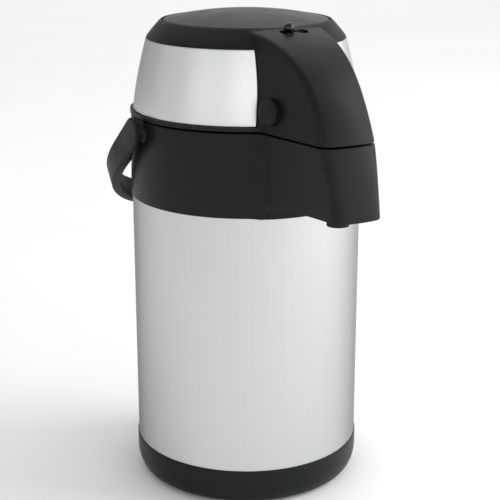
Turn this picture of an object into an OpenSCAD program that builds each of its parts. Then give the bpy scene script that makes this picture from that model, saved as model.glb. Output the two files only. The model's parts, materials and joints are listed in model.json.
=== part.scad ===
// Pump pot (airpot), 2.5 litre class: a steel-bodied vacuum jug whose domed lid button pumps the drink out of a fixed spout.
// Millimetres, +Z up. The origin is on the pot's axis, on the surface that it stands on. The spout points along -Y.

/* [Body] */
// Outside radius of the steel body tube
body_r = 79.5; // [79:0.1:80]
// Height of the base moulding up to its seam with the steel
base_h = 26.6; // [25:0.2:30]
// Visible height of the steel tube
steel_h = 179.3; // [165:0.1:195]
// Height of the collar above the steel
collar_h = 55.4; // [54:0.2:57]
// Radius of the base moulding where it meets the table
base_foot_r = 72.6; // [70:0.2:75]

/* [Lid] */
// Gap between the collar and the closed lid
seam_gap = 1.4; // [1:0.1:1.8]
// Height of the lid's lower rim
rim_h = 2.5; // [2:0.1:3]
// Height of the steel band round the lid
band_h = 47.6; // [46:0.2:49]
// Radius of the band at its lower edge
band_r0 = 77.6; // [77:0.1:78]
// Radius of the band at its upper edge
band_r1 = 68; // [67.5:0.1:68.5]
// Height of the black shoulder above the band
shoulder_h = 12.5; // [12:0.1:13]
// Radius of the push button
button_r = 56.6; // [56:0.1:57]
// Rise of the push button's dome
dome_h = 6.2; // [5:0.2:8]
// Travel of the push button
press_travel = 22; // [16:1:23]

/* [Spout] */
// Half width of the nose where it leaves the pot
nose_w = 29.6; // [29:0.1:30.5]
// Radius of the rounded edge between the nose's face and its flanks
nose_fillet = 6.5; // [5:0.5:7.5]
// Crown radius of the nose's face
nose_crown = 60; // [50:5:90]
// Wall thickness of the moulded housings
wall = 2.4; // [2:0.1:2.6]
// Distance of the outlet from the pot's axis
outlet_p = 122; // [118:1:124]
// Outside radius of the outlet nozzle
outlet_r = 7.2; // [6.8:0.1:7.6]

/* [Handle] */
// Angle of the resting bail below horizontal
bail_rest = 36.6; // [35:0.2:38]
// Length of the bail from its pivots to the grip
bail_len = 120; // [119:0.5:124]
// Outer half width of the bail
bail_w = 87.4; // [87.2:0.1:89]
// Thickness of the bail
bail_t = 6.5; // [6:0.1:6.6]
// Width of the bail's strap at the grip
strap_w = 17.4; // [16:0.2:19]

/* [Hidden] */
$fn = 96;
e = 0.01;

z_collar = base_h + steel_h;          // 205.9, lower edge of the collar
z_seam = z_collar + collar_h;         // 261.3, top of the collar
z_mid = z_seam + seam_gap / 2;        // 262, middle of the lid seam
z_lid = z_seam + seam_gap;            // 262.7, underside of the lid
z_band = z_lid + rim_h;               // 265.2, lower edge of the band
z_sh = z_band + band_h;               // 312.8, lower edge of the shoulder
z_dome = z_sh + shoulder_h;           // 325.3, edge of the push button
z_nose = z_collar + 11.6;             // 217.5, underside of the nose
z_pipe = z_seam - 9.3;                // 252, axis of the horizontal water passage
z_pivot = z_seam - 6.6;               // 254.7, handle pivots
y_pivot = -2;
y_hinge = 85;
collar_r = body_r + 0.7;              // 80.2, collar and base at the steel
well_r = button_r + 0.6;              // 57.2, the button's well

// ---------- profiles ----------
function band_r(z) = band_r0 - (band_r0 - band_r1) * pow(max(0, (z - z_band) / band_h), 1.35);
function sh_r(z) = band_r1 - (band_r1 - button_r - 1) * pow(max(0, (z - z_sh) / shoulder_h), 1.15);
// nose: centre line from the button's seam, over the ramp and down the face, as [distance from the axis, height]
nose_c = [[56, z_mid + 62.5], [103.5, z_mid + 55.5], [134.5, z_mid + 34.5], [149.2, z_mid - 44.5]];
function bz(P, t) = P[0] * pow(1 - t, 3) + P[1] * 3 * pow(1 - t, 2) * t + P[2] * 3 * (1 - t) * t * t + P[3] * pow(t, 3);
function bzd(P, t) = (P[1] - P[0]) * 3 * pow(1 - t, 2) + (P[2] - P[1]) * 6 * (1 - t) * t + (P[3] - P[2]) * 3 * t * t;
function unit(v) = v / norm(v);
function nose_n(t) = let (d = unit(bzd(nose_c, min(t, 1)))) [-d[1], d[0]];
function nose_pt(t) = t <= 1 ? bz(nose_c, t) : nose_c[3] + unit(bzd(nose_c, 1)) * (t - 1) * 60;
// half width of the nose at distance p, with upright flanks below the seam, and with flanks that draw in towards the top above it
function flank(p) = nose_w - 0.18 * (p - 74);
function flank_l(p, z) = nose_w - 0.18 * (p - 74) - 0.11 * (z - z_mid);
// half section of the nose across its centre line, from the middle to the end of the edge's rounding at angle a1, as [half width, depth below the face]
function half_sec(w, rf, rb, a1, nc, nf) =
  let (qc = w - rf * sin(a1), a0 = asin(qc / (rb - rf)), dc = rb - sqrt(pow(rb - rf, 2) - qc * qc))
  concat([for (i = [0:nc]) let (a = a0 * i / nc) [rb * sin(a), rb * (1 - cos(a))]],
         [for (i = [1:nf]) let (a = a0 + (a1 - a0) * i / nf) [qc + rf * sin(a), dc - rf * cos(a)]]);
// one ring of the nose: [x, y, z] points from the left flank's foot over the face to the right flank's foot
function nose_ring(t, off, low) =
  let (C = nose_pt(t) - nose_n(t) * off, N = nose_n(t), E = C - N * 8,
       w = (low ? flank(E[0]) : flank_l(E[0], E[1])) - off,
       a1 = 90 - atan(0.18 * N[0] + (low ? 0 : 0.11 * N[1])),
       H = half_sec(w, nose_fillet - off / 2, nose_crown - off, a1, 3, 4), m = len(H) - 1,
       P = [for (h = H) let (s = C - N * h[1]) [h[0], s[0], s[1]]], F = P[m],
       R = low ? [F[0] + 0.18 * (F[1] - 64), 64, F[2]] : [F[0] + 0.11 * (F[2] - z_seam + 14), F[1], z_seam - 14])
  concat([[-R[0], -R[1], R[2]]], [for (i = [m:-1:1]) [-P[i][0], -P[i][1], P[i][2]]],
         [for (i = [0:m]) [P[i][0], -P[i][1], P[i][2]]], [[R[0], -R[1], R[2]]]);
// each end is closed by a flat part across the rounded face and a flat part across the flanks' feet
function fan(a, k, up) = [for (i = [1:k - 2]) up ? [a, a + i + 1, a + i] : [a, a + i, a + i + 1]];
module nose_body(ts, off, low) {
  G = [for (t = ts) nose_ring(t, off, low)];
  k = len(G[0]); n = len(G); z = (n - 1) * k;
  polyhedron(points = [for (g = G) each g],
    faces = concat(fan(1, k - 2, true), [[0, k - 2, 1], [0, k - 1, k - 2]],
      fan(z + 1, k - 2, false), [[z, z + 1, z + k - 2], [z, z + k - 2, z + k - 1]],
      [for (i = [0:n - 2]) for (j = [0:k - 1]) let (a = i * k + j, b = i * k + (j + 1) % k) each [[a, b + k, a + k], [a, b, b + k]]]));
}
t_top = [for (i = [0:13]) i * 0.80 / 13];
t_low = [for (i = [0:7]) 0.71 + i * 0.055];
module slab(z0, z1) { translate([-150, -220, z0]) cube([300, 300, z1 - z0]); }

module ring(r1, r0, z0, z1) { translate([0, 0, z0]) difference() { cylinder(r = r1, h = z1 - z0); translate([0, 0, -1]) cylinder(r = r0, h = z1 - z0 + 2); } }
module around(r, a) { for (i = a) rotate([0, 0, i]) translate([r, 0, 0]) children(); }
module along_y(r, p0, p1, z) { translate([0, -p0, z]) rotate([90, 0, 0]) cylinder(r = r, h = p1 - p0); }

// ---------- pot ----------
module base_ring() color("#26272a") {
  cr = collar_r - base_foot_r;
  rotate_extrude() polygon(concat(
    [[53, 0.8], [base_foot_r - 1, 0.8]],
    [for (i = [0:8]) let (a = i * 90 / 8) [base_foot_r + cr * sin(a), 1.2 + 15.2 * (1 - cos(a))]],
    [[collar_r, base_h], [body_r + 0.05, base_h], [body_r + 0.05, 21], [76.5, 21], [76.5, 16],
     [70, 5], [55.5, 3.4], [55.5, 12], [53, 12]]));
}
module base_plug() color("#2c2d30") difference() {
  union() {
    cylinder(r = 52.8, h = 3);
    ring(52.8, 50, 3 - e, 11);
    ring(38, 34, 3 - e, 9);
  }
  for (s = [-1, 1]) translate([s * 34, 0, -1]) intersection() { cylinder(r = 12, h = 2.8); translate([-6, -20, 0]) cube([12, 40, 3]); }
}
module foot_ring() color("#1b1b1c") ring(69, 63, 0, 0.8);
module flask_support() color("#3a3a3a") rotate_extrude() polygon([[31, 9], [42, 9], [46, 12], [46, 14.9], [31, 14.9]]);
module outer_shell() color("silver") ring(body_r, body_r - 0.6, 21, z_collar + 4.3);

// outline of a bottle from the middle of its foot to its rim
function bottle(rb, rn, z0, rc, z1, z2, z3) = concat([[0, z0]],
  [for (i = [0:6]) let (a = i * 15) [rb - rc + rc * sin(a), z0 + rc * (1 - cos(a))]],
  [for (i = [0:8]) let (u = i / 8) [rn + (rb - rn) * (0.5 + 0.5 * cos(180 * u)), z1 + (z2 - z1) * u]], [[rn, z3]]);
module bottle_shell(rb, rn, z0, rc, z1, z2, z3, t) {
  O = bottle(rb, rn, z0, rc, z1, z2, z3);
  I = bottle(rb - t, rn - t, z0 + t, rc - t, z1 - t / 2, z2 - t / 2, z3);
  rotate_extrude() polygon(concat(O, [for (i = [len(I) - 1:-1:0]) I[i]]));
}
z_rim = z_seam - 17.3;   // 244, rim of the liner's mouth
module liner_outer() color("#b8bcc0") {
  bottle_shell(71, 37.4, 15, 14, z_rim - 43, z_rim - 13, z_rim - 1, 0.9);
  ring(37.4, 34, z_rim - 1, z_rim);
}
module liner_inner() color("#c8ccd0") bottle_shell(66.8, 34, 20, 12, z_rim - 46, z_rim - 18, z_rim, 0.9);
module neck_gasket() color("#d8d4c8") ring(37.6, 33.1, z_rim, z_rim + 2);
module mouth_ring() color("#3c3e42") difference() {
  union() {
    ring(38, 31, z_rim + 2, z_seam);
    ring(44, 37.5, z_seam - 2, z_seam);
    ring(31.5, 28.4, z_rim + 2, z_rim + 3.6);
  }
  along_y(4.65, 27, 45, z_pipe);
  around(41.2, [45, 135, 225, 315]) { translate([0, 0, z_seam - 1.4]) cylinder(r = 2.4, h = 3); translate([0, 0, z_seam - 4]) cylinder(r = 1.25, h = 6); }
}
module mouth_screws() color("#9a9da0") around(41.2, [45, 135, 225, 315]) {
  difference() { translate([0, 0, z_seam - 1.4]) cylinder(r = 2.3, h = 1.3); translate([-1.8, -0.35, z_seam - 0.8]) cube([3.6, 0.7, 2]); }
  translate([0, 0, z_seam - 8]) cylinder(r = 1.25, h = 6.7);
}
module collar() color("#232427") difference() {
  union() {
    rotate_extrude() polygon([[body_r + 0.05, z_collar], [collar_r, z_collar], [collar_r - 0.1, z_collar + 14], [collar_r - 1, z_seam],
      [44.3, z_seam], [44.3, z_seam - 2], [38.2, z_seam - 2], [38.2, z_seam - 4], [collar_r - 3.6, z_seam - 4],
      [collar_r - 2.6, z_collar + 6], [77, z_collar + 6], [77, z_collar + 4.4], [body_r + 0.05, z_collar + 4.4]]);
    difference() {
      intersection() { nose_body(t_low, 0, true); slab(z_nose, z_seam); }
      intersection() { nose_body(t_low, wall, true); slab(z_nose - 1, z_seam - 4); }
      translate([0, 0, z_nose - 5]) cylinder(r = collar_r - 1.5, h = 60);
      translate([-40, -80, z_nose - 1]) cube([80, 60, z_seam - 3 - z_nose]);
    }
    // webs that carry the nose's flanks down to the foot of the collar
    for (s = [0, 1]) mirror([s, 0, 0]) difference() {
      intersection() {
        translate([0, 0, z_collar]) linear_extrude(z_nose - z_collar + 2) polygon([[flank(72), -72], [flank(95), -95], [flank(95) - wall, -95], [flank(72) - wall, -72]]);
        difference() { translate([0, 0, z_collar]) cylinder(r = 97, h = 30); translate([0, 0, z_collar - 1]) cylinder(r = collar_r - 1, h = 40); }
      }
      translate([0, -93.6, z_collar - 0.6]) rotate([0, 90, 0]) cylinder(r = 12.1, h = 60);
    }
    // handle bosses
    for (s = [-1, 1]) translate([s * 77, y_pivot, z_pivot]) rotate([0, s * 90, 0]) cylinder(r = 6.4, h = bail_w - bail_t - 0.4 - 77);
    // hinge ears
    for (s = [-1, 1]) {
      translate([s * 16.5 - 6, y_hinge, z_mid]) rotate([0, 90, 0]) cylinder(r = 4.6, h = 12);
      translate([s * 16.5 - 6, 74, z_seam - 6]) cube([12, y_hinge - 74, 6]);
    }
    // bosses for the mouth ring's screws and the nose cover's screws
    around(41.2, [45, 135, 225, 315]) translate([0, 0, z_seam - 10]) cylinder(r = 2.9, h = 7.5);
    for (s = [-1, 1]) translate([s * 10.5, -98, z_nose + 2.5]) cylinder(r = 3.4, h = z_seam - 2 - z_nose - 2.5);
  }
  along_y(5.4, 70, 90, z_pipe);
  around(41.2, [45, 135, 225, 315]) translate([0, 0, z_seam - 8.2]) cylinder(r = 1.25, h = 8);
  for (s = [-1, 1]) translate([s * 10.5, -98, z_nose]) cylinder(r = 1.4, h = 14);
  for (s = [-1, 1]) translate([s * 74, y_pivot, z_pivot]) rotate([0, s * 90, 0]) cylinder(r = 3.5, h = 12);
  translate([-30, y_hinge, z_mid]) rotate([0, 90, 0]) cylinder(r = 1.8, h = 60);
  // windows for the latch hooks
  for (s = [-1, 1]) translate([s * 14.75 - 4.75, -91.5, z_seam - 6]) cube([9.5, 11, 8]);
}
module nose_cover() color("#1f2022") difference() {
  union() {
    translate([0, 0, z_nose]) linear_extrude(2.4) polygon(concat(
      [[flank(82) - wall - 0.3, -82], [flank(139) - wall - 0.3, -139], [11, -145.2], [0, -145.9], [-11, -145.2],
       [-(flank(139) - wall - 0.3), -139], [-(flank(82) - wall - 0.3), -82]]));
    intersection() {
      rotate_extrude() polygon(concat([[collar_r + 0.15, z_collar], [83, z_collar]],
        [for (i = [0:12]) let (a = i * 7.5) [83 + 9 * (1 - cos(a)), z_nose - 9 + 9 * sin(a)]], [[92, z_nose + 2.4], [collar_r + 0.15, z_nose + 2.4]]));
      translate([0, 0, z_collar - 1]) linear_extrude(30) polygon([[flank(60) - wall - 0.3, -60], [flank(96) - wall - 0.3, -96], [-(flank(96) - wall - 0.3), -96], [-(flank(60) - wall - 0.3), -60]]);
    }
  }
  translate([0, -outlet_p, z_nose - 1]) cylinder(r = outlet_r + 0.1, h = 5);
  for (s = [-1, 1]) translate([s * 10.5, -98, z_nose - 1]) { cylinder(r = 1.5, h = 6); cylinder(r = 2.9, h = 2.4); }
}
module cover_screws() color("#9a9da0") for (s = [-1, 1]) translate([s * 10.5, -98, z_nose]) {
  difference() { translate([0, 0, 0.1]) cylinder(r = 2.7, h = 1.3); translate([-2.2, -0.35, -0.4]) cube([4.4, 0.7, 1.1]); }
  translate([0, 0, 1.3]) cylinder(r = 1.4, h = 12);
}
module pipe(r, p0, p1, z_end) {
  along_y(r, p0, p1, z_pipe);
  translate([0, -p1, z_pipe]) sphere(r = r);
  translate([0, -p1, z_end]) cylinder(r = r, h = z_pipe - z_end);
}
module spout_conduit() color("#e4e4e0") difference() { pipe(4.6, 34.6, outlet_p, z_nose + 3); pipe(3.2, 30, outlet_p, z_nose); }
module outlet_nozzle() color("#1d1d1f") translate([0, -outlet_p, 0]) {
  ring(outlet_r, 4.7, z_nose - 7.9, z_nose + 9);
  ring(9.4, outlet_r - e, z_nose + 2.5, z_nose + 4.1);
}
module dip_tube() color("#e4e4e0") difference() {
  union() { translate([0, -20, 26]) cylinder(r = 4, h = z_pipe - 26); translate([0, -20, z_pipe]) sphere(r = 4.2); along_y(4.2, 20, 33, z_pipe); }
  translate([0, -20, 20]) cylinder(r = 2.8, h = z_pipe - 20);
  translate([0, -20, z_pipe]) sphere(r = 2.9);
  along_y(2.8, 20, 40, z_pipe);
}
module tube_seal() color("#c06a3a") difference() { along_y(4.5, 33, 34.6, z_pipe); along_y(3, 32, 36, z_pipe); }
module hinge_pin() color("#c0c2c4") translate([-22.5, y_hinge, z_mid]) rotate([0, 90, 0]) cylinder(r = 1.8, h = 45);
module pivot_pins() color("#c0c2c4") for (s = [-1, 1]) translate([s * 75, y_pivot, z_pivot]) rotate([0, s * 90, 0]) cylinder(r = 3.5, h = bail_w - 2.2 - 75);

// ---------- lid ----------
fn_l = [-0.9785, -0.1761, 0.1076];         // outward normal of the left flank
latch_c = [-(flank_l(84.5, z_mid + 14.5)), -84.5, z_mid + 14.5];
// turns +Z onto the outward normal of the left flank
module on_flank() { translate(latch_c) rotate([0, 0, atan2(fn_l[1], fn_l[0])]) rotate([0, acos(fn_l[2]), 0]) children(); }
function top_z(p) = z_mid + 62.5 - 0.09 * (p - 56) - 0.0025 * pow(p - 56, 2);
lock_p = 65;
lock_x = -4.6;
module lid_shell() color("#2a2b2e") difference() {
  union() {
    rotate_extrude() polygon(concat(
      [for (i = [0:10]) let (z = z_band + band_h * i / 10) [band_r(z) - 0.65, z]],
      [for (i = [0:5]) let (z = z_sh + shoulder_h * i / 5) [sh_r(z), z]],
      [[well_r, z_dome], [well_r, z_band]]));
    intersection() { nose_body(t_top, 0, false); slab(z_lid, z_dome + 5); }
  }
  // hollow between the band's wall and the button's well, open to the hollow nose
  difference() {
    union() {
      difference() {
        rotate_extrude() polygon(concat([for (i = [0:4]) let (z = z_band - 1 + (band_h + 1) * i / 4) [band_r(z) - 2.8, z]],
          [[well_r + 2, z_sh + 6], [well_r + 2, z_band - 1]]));
        around(65.6, [45, 135, 225, 315]) translate([0, 0, z_band - 2]) cylinder(r = 4.2, h = 60);
      }
      intersection() { nose_body(t_top, wall, false); slab(z_lid - 1, z_dome - 1); }
    }
    translate([0, 0, z_band - 3]) cylinder(r = well_r + 2, h = 80);
  }
  translate([0, 0, z_lid - 1]) cylinder(r = well_r, h = 80);
  translate([0, 0, z_lid - 1]) cylinder(r = well_r + 2.5, h = rim_h + 9);
  around(65.6, [45, 135, 225, 315]) translate([0, 0, z_band - 1]) cylinder(r = 1.5, h = 18);
  // slot of the pump lock, with its two round ends
  translate([0, -lock_p, z_dome - 9]) { for (s = [-1, 1]) translate([s * 6.2, 0, 0]) cylinder(r = 4, h = 20); translate([-6, -1.8, 0]) cube([12, 3.6, 20]); }
  // passage for the lock bar's tongue, and the groove in which the button's lug runs down
  translate([-10.4, -66, z_dome - 10.3]) cube([20.8, 12, 4]);
  translate([1, -60.2, z_dome - 31]) cube([8.5, 6, 26.2]);
  // openings for the two latch buttons
  for (s = [0, 1]) mirror([s, 0, 0]) on_flank() translate([0, 0, -9]) cylinder(r = 8.8, h = 20);
}
module band_cut() { translate([0, 0, z_lid]) linear_extrude(90) polygon([[0, 0], [130 * tan(23), -130], [-130 * tan(23), -130]]); }
module lid_band() color("#d0d3d6") difference() {
  rotate_extrude() polygon(concat([for (i = [0:10]) let (z = z_band + 0.15 + (band_h - 0.25) * i / 10) [band_r(z), z]],
    [for (i = [10:-1:0]) let (z = z_band + 0.15 + (band_h - 0.25) * i / 10) [band_r(z) - 0.6, z]]));
  band_cut();
}
module lid_base() color("#202124") difference() {
  union() {
    difference() {
      translate([0, 0, z_lid]) cylinder(r = collar_r - 0.4, h = rim_h);
      translate([0, 0, z_lid - 1]) linear_extrude(rim_h + 2) polygon([[flank(49) + 0.15, -49], [flank(90) + 0.15, -90], [-(flank(90) + 0.15), -90], [-(flank(49) + 0.15), -49]]);
    }
    translate([0, 0, z_lid]) linear_extrude(rim_h) polygon([[flank(48) - wall - 0.2, -48], [flank(127) - wall - 0.4, -127], [11, -131.7], [-11, -131.7],
      [-(flank(127) - wall - 0.4), -127], [-(flank(48) - wall - 0.2), -48]]);
    ring(51.6, 50.2, z_band - e, z_band + 4);
    translate([-9.6, y_hinge, z_mid]) rotate([0, 90, 0]) cylinder(r = 4.6, h = 19.2);
    translate([-9.6, 72, z_lid]) cube([19.2, y_hinge - 72, rim_h]);
    translate([-9.6, 78.4, z_lid]) cube([19.2, y_hinge - 78.4, 3.4]);
  }
  // air passage: a centre hole for the flap's stem, with six holes round it
  translate([0, 0, z_lid - 1]) cylinder(r = 1.7, h = 6);
  around(5.4, [0:60:300]) translate([0, 0, z_lid - 1]) cylinder(r = 1.9, h = 6);
  translate([-30, y_hinge, z_mid]) rotate([0, 90, 0]) cylinder(r = 1.86, h = 60);
  around(65.6, [45, 135, 225, 315]) translate([0, 0, z_lid - 1]) { cylinder(r = 1.6, h = 6); cylinder(r = 3.3, h = 2.3); }
  for (s = [-1, 1]) translate([s * 14.75 - 4.75, -91.5, z_lid - 1]) cube([9.5, 11, 6]);
}
module lid_seal() color("#d8d4c8") ring(36.5, 31.6, z_seam + 0.25, z_lid);
module air_valve() color("#c06a3a") { translate([0, 0, z_lid - 1.1]) cylinder(r = 9, h = 1.1); translate([0, 0, z_lid - e]) cylinder(r = 1.6, h = rim_h + 1.2); translate([0, 0, z_band + 0.1]) cylinder(r = 2.6, h = 1.2); }
module lid_screws() color("#9a9da0") around(65.6, [45, 135, 225, 315]) {
  difference() { translate([0, 0, z_lid + 0.1]) cylinder(r = 3.1, h = 1.2); translate([-2.4, -0.4, z_lid - 0.5]) cube([4.8, 0.8, 1.2]); }
  translate([0, 0, z_lid + 1.2]) cylinder(r = 1.5, h = 16);
}
bel_n = 6;
bel_h = z_sh - 11 - z_band;               // 36.6, free height of the bellows
module bellows() color("#8c8478") {
  O = [for (i = [0:2 * bel_n]) [i % 2 == 0 ? 42 : 49, z_band + 0.2 + (bel_h - 0.4) * i / (2 * bel_n)]];
  rotate_extrude() polygon(concat(O, [for (i = [2 * bel_n:-1:0]) [O[i][0] - 1.6, O[i][1]]]));
}
module return_spring() color("#b0b3b6") {
  n = 6; k = 16; rw = 1.1; rc = 22; zs = z_band + 0.2 + rw; hs = bel_h - 0.4 - 2 * rw;
  R = [for (i = [0:n * k]) let (a = i * 360 / k, z = zs + hs * min(1, max(0, (i / k - 0.5) / (n - 1))))
    [for (j = [0:7]) [(rc + rw * cos(j * 45)) * cos(a), (rc + rw * cos(j * 45)) * sin(a), z + rw * sin(j * 45)]]];
  m = len(R);
  polyhedron(points = [for (r = R) each r], faces = concat([[for (j = [0:7]) j]], [[for (j = [7:-1:0]) (m - 1) * 8 + j]],
    [for (i = [0:m - 2]) for (j = [0:7]) let (a = i * 8 + j, b = i * 8 + (j + 1) % 8) each [[a, a + 8, b + 8], [a, b + 8, b]]]));
}

// ---------- push button ----------
function dome_z(r) = z_dome + dome_h * (1 - pow(r / button_r, 2.3));
module push_button() color("#303134") difference() {
  union() {
    rotate_extrude() polygon(concat([for (i = [0:10]) [button_r * i / 10, dome_z(button_r * i / 10)]],
      [[button_r, z_sh - 13], [button_r - 2, z_sh - 13], [button_r - 2, z_dome - 3]],
      [for (i = [9:-1:0]) let (r = (button_r - 2) * i / 10) [r, dome_z(r) - 2.4]]));
    ring(9, 6.6, z_sh - 6, z_dome + 4);
    // lug that the lock bar stops
    translate([2, -59, z_dome - 7]) cube([6, 3.4, 2]);
  }
}
module pusher_plate() color("#3c3e42") {
  ring(52.5, 5, z_sh - 11, z_sh - 8.5);
  ring(6.5, 5, z_sh - 9, z_sh + 6);
  for (a = [0:60:300]) rotate([0, 0, a]) translate([6, -1, z_sh - 9]) cube([40, 2, 3]);
}
module intake_valve() color("#c06a3a") { translate([0, 0, z_sh - 12.1]) cylinder(r = 9, h = 1.1); translate([0, 0, z_sh - 11 - e]) cylinder(r = 4.9, h = 4); }

// ---------- pump lock ----------
module lock_knob() color("#0e0e10") translate([lock_x, -lock_p, 0]) {
  translate([0, 0, top_z(lock_p) + 3.2]) sphere(r = 3.6);
  translate([0, 0, z_dome - 7]) cylinder(r = 1.5, h = 6.5);
}
module lock_bar() color("#3c3e42") difference() {
  union() {
    translate([lock_x - 5, -69, z_dome - 9.3]) cube([10, 8.4, 2]);
    translate([lock_x - 3, -64, z_dome - 9.3]) cube([6, 6.4, 2]);
    translate([lock_x, -lock_p, z_dome - 7.4]) cylinder(r = 2.6, h = 1.4);
  }
  translate([lock_x, -lock_p, z_dome - 7]) cylinder(r = 1.5, h = 3);
}

// ---------- latch buttons ----------
module latch_button_left() color("#2a2b2e") {
  on_flank() translate([0, 0, -6.5]) cylinder(r = 8.3, h = 11.6);
  translate([-20.5, -89, z_seam + 9]) cube([6, 7, 7]);
  translate([-17.4, -89, z_seam - 8.5]) cube([2.6, 7, 24]);
  translate([-19.2, -89, z_seam - 8.5]) cube([2, 7, 3.6]);
}
module latch_button_right() mirror([1, 0, 0]) latch_button_left();

// ---------- handle ----------
function bow(w, l, a) = [w * pow(cos(a), 2 / 2.3), 30 + (l - 30) * pow(sin(a), 2 / 2.3)];
function bow_line(w, l, n) = concat([for (i = [0:n]) bow(w, l, 90 * i / n)], [for (i = [n - 1:-1:0]) let (b = bow(w, l, 90 * i / n)) [-b[0], b[1]]]);
module bail_plane() { translate([0, y_pivot, z_pivot]) rotate([-bail_rest, 0, 0]) children(); }
module handle_bail() color("#2a2b2e") bail_plane() difference() {
  intersection() {
    translate([0, 0, -12]) linear_extrude(24) polygon(concat([[bail_w, -12]], bow_line(bail_w, bail_len, 16), [[-bail_w, -12], [-(bail_w - bail_t), -12]],
      [for (i = [32:-1:0]) bow_line(bail_w - bail_t, bail_len - bail_t, 16)[i]], [[bail_w - bail_t, -12]]));
    union() {
      translate([-100, 0, 0]) rotate([0, 90, 0]) cylinder(r = 10.1, h = 200);
      translate([-100, 0, 0]) rotate([90, 0, 90]) linear_extrude(200) polygon([[0, -10.1], [60, -strap_w / 2], [140, -strap_w / 2], [140, strap_w / 2], [60, strap_w / 2], [0, 10.1]]);
    }
  }
  for (s = [-1, 1]) translate([s * (bail_w - bail_t - 1), 0, 0]) rotate([0, s * 90, 0]) cylinder(r = 3.57, h = bail_t - 1);
  intersection() {
    translate([0, 0, -7.2]) linear_extrude(14.4) polygon(concat([[66, 0]], bow_line(bail_w - bail_t + 3, bail_len - bail_t + 3, 16), [[-66, 0]]));
    translate([-66, 30, -10]) cube([132, 120, 20]);
  }
}
module handle_grip() color("#1f2022") bail_plane() intersection() {
  translate([0, 0, -7.1]) linear_extrude(14.2) polygon(concat(bow_line(bail_w - bail_t + 2.9, bail_len - bail_t + 2.9, 16),
    [for (i = [32:-1:0]) bow_line(bail_w - bail_t - 0.8, bail_len - bail_t - 0.8, 16)[i]]));
  translate([-65.8, 30, -10]) cube([131.6, 120, 20]);
}

base_ring();
base_plug();
foot_ring();
flask_support();
outer_shell();
liner_outer();
liner_inner();
neck_gasket();
mouth_ring();
mouth_screws();
collar();
nose_cover();
cover_screws();
spout_conduit();
outlet_nozzle();
dip_tube();
tube_seal();
hinge_pin();
pivot_pins();
lid_shell();
lid_band();
lid_base();
lid_seal();
air_valve();
lid_screws();
bellows();
return_spring();
push_button();
pusher_plate();
intake_valve();
lock_knob();
lock_bar();
latch_button_left();
latch_button_right();
handle_bail();
handle_grip();
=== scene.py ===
# Pump pot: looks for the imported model. Units are metres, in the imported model's own frame (+Z up, the spout along -Y).
import bpy
import json
import math
import numpy as np
from mathutils import Matrix, Vector


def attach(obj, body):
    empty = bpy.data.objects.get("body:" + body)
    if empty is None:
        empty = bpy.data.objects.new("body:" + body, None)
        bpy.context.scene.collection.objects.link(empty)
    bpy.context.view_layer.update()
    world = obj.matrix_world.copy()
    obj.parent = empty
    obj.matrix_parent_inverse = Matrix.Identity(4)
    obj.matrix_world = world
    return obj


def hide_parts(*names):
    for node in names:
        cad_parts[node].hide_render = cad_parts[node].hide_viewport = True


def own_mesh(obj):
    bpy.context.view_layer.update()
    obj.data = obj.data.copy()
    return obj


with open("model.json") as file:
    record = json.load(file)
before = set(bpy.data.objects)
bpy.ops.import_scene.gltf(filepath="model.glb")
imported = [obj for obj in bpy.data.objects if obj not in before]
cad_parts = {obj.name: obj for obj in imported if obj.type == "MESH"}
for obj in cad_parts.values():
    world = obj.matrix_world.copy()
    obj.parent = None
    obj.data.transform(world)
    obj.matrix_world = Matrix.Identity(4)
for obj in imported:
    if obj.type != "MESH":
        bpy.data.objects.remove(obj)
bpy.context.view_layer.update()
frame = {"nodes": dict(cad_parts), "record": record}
MM = 0.001

# ------------------------------------------------------------------ dimensions (mm)
Z_COLLAR, Z_SEAM, Z_LID, Z_BAND, Z_SH, Z_DOME = 205.9, 261.3, 262.7, 265.2, 312.8, 325.3
Z_MID, Z_NOSE, Z_PIVOT, Y_PIVOT, Y_HINGE = 262.0, 217.5, 254.7, -2.0, 85.0
BODY_R, COLLAR_R, BUTTON_R, WELL_R = 79.5, 80.2, 56.6, 57.2
WALL = 2.4


def band_r(z):
    t = np.clip((z - Z_BAND) / 47.6, 0, None)
    return 77.6 - 9.6 * t ** 1.35


def sh_r(z):
    t = np.clip((z - Z_SH) / 12.5, 0, None)
    return 68.0 - 10.4 * t ** 1.15


def lid_ring_r(z):
    """Radius of the lid's outside: rim, band, shoulder."""
    z = np.asarray(z, float)
    r = np.where(z < Z_SH, band_r(z), sh_r(z))
    return r


def collar_ring_r(z):
    z = np.asarray(z, float)
    return np.interp(z, [Z_COLLAR, Z_COLLAR + 14, Z_SEAM, Z_LID], [80.2, 80.1, 79.2, 79.15])


# ------------------------------------------------------------------ the nose as a distance function
_B = np.array([[56, 324.5], [103.5, 317.5], [134.5, 296.5], [149.2, 217.5]])


def bez(t):
    t = np.asarray(t, float)[..., None]
    return _B[0] * (1 - t) ** 3 + 3 * _B[1] * (1 - t) ** 2 * t + 3 * _B[2] * (1 - t) * t * t + _B[3] * t ** 3


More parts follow.
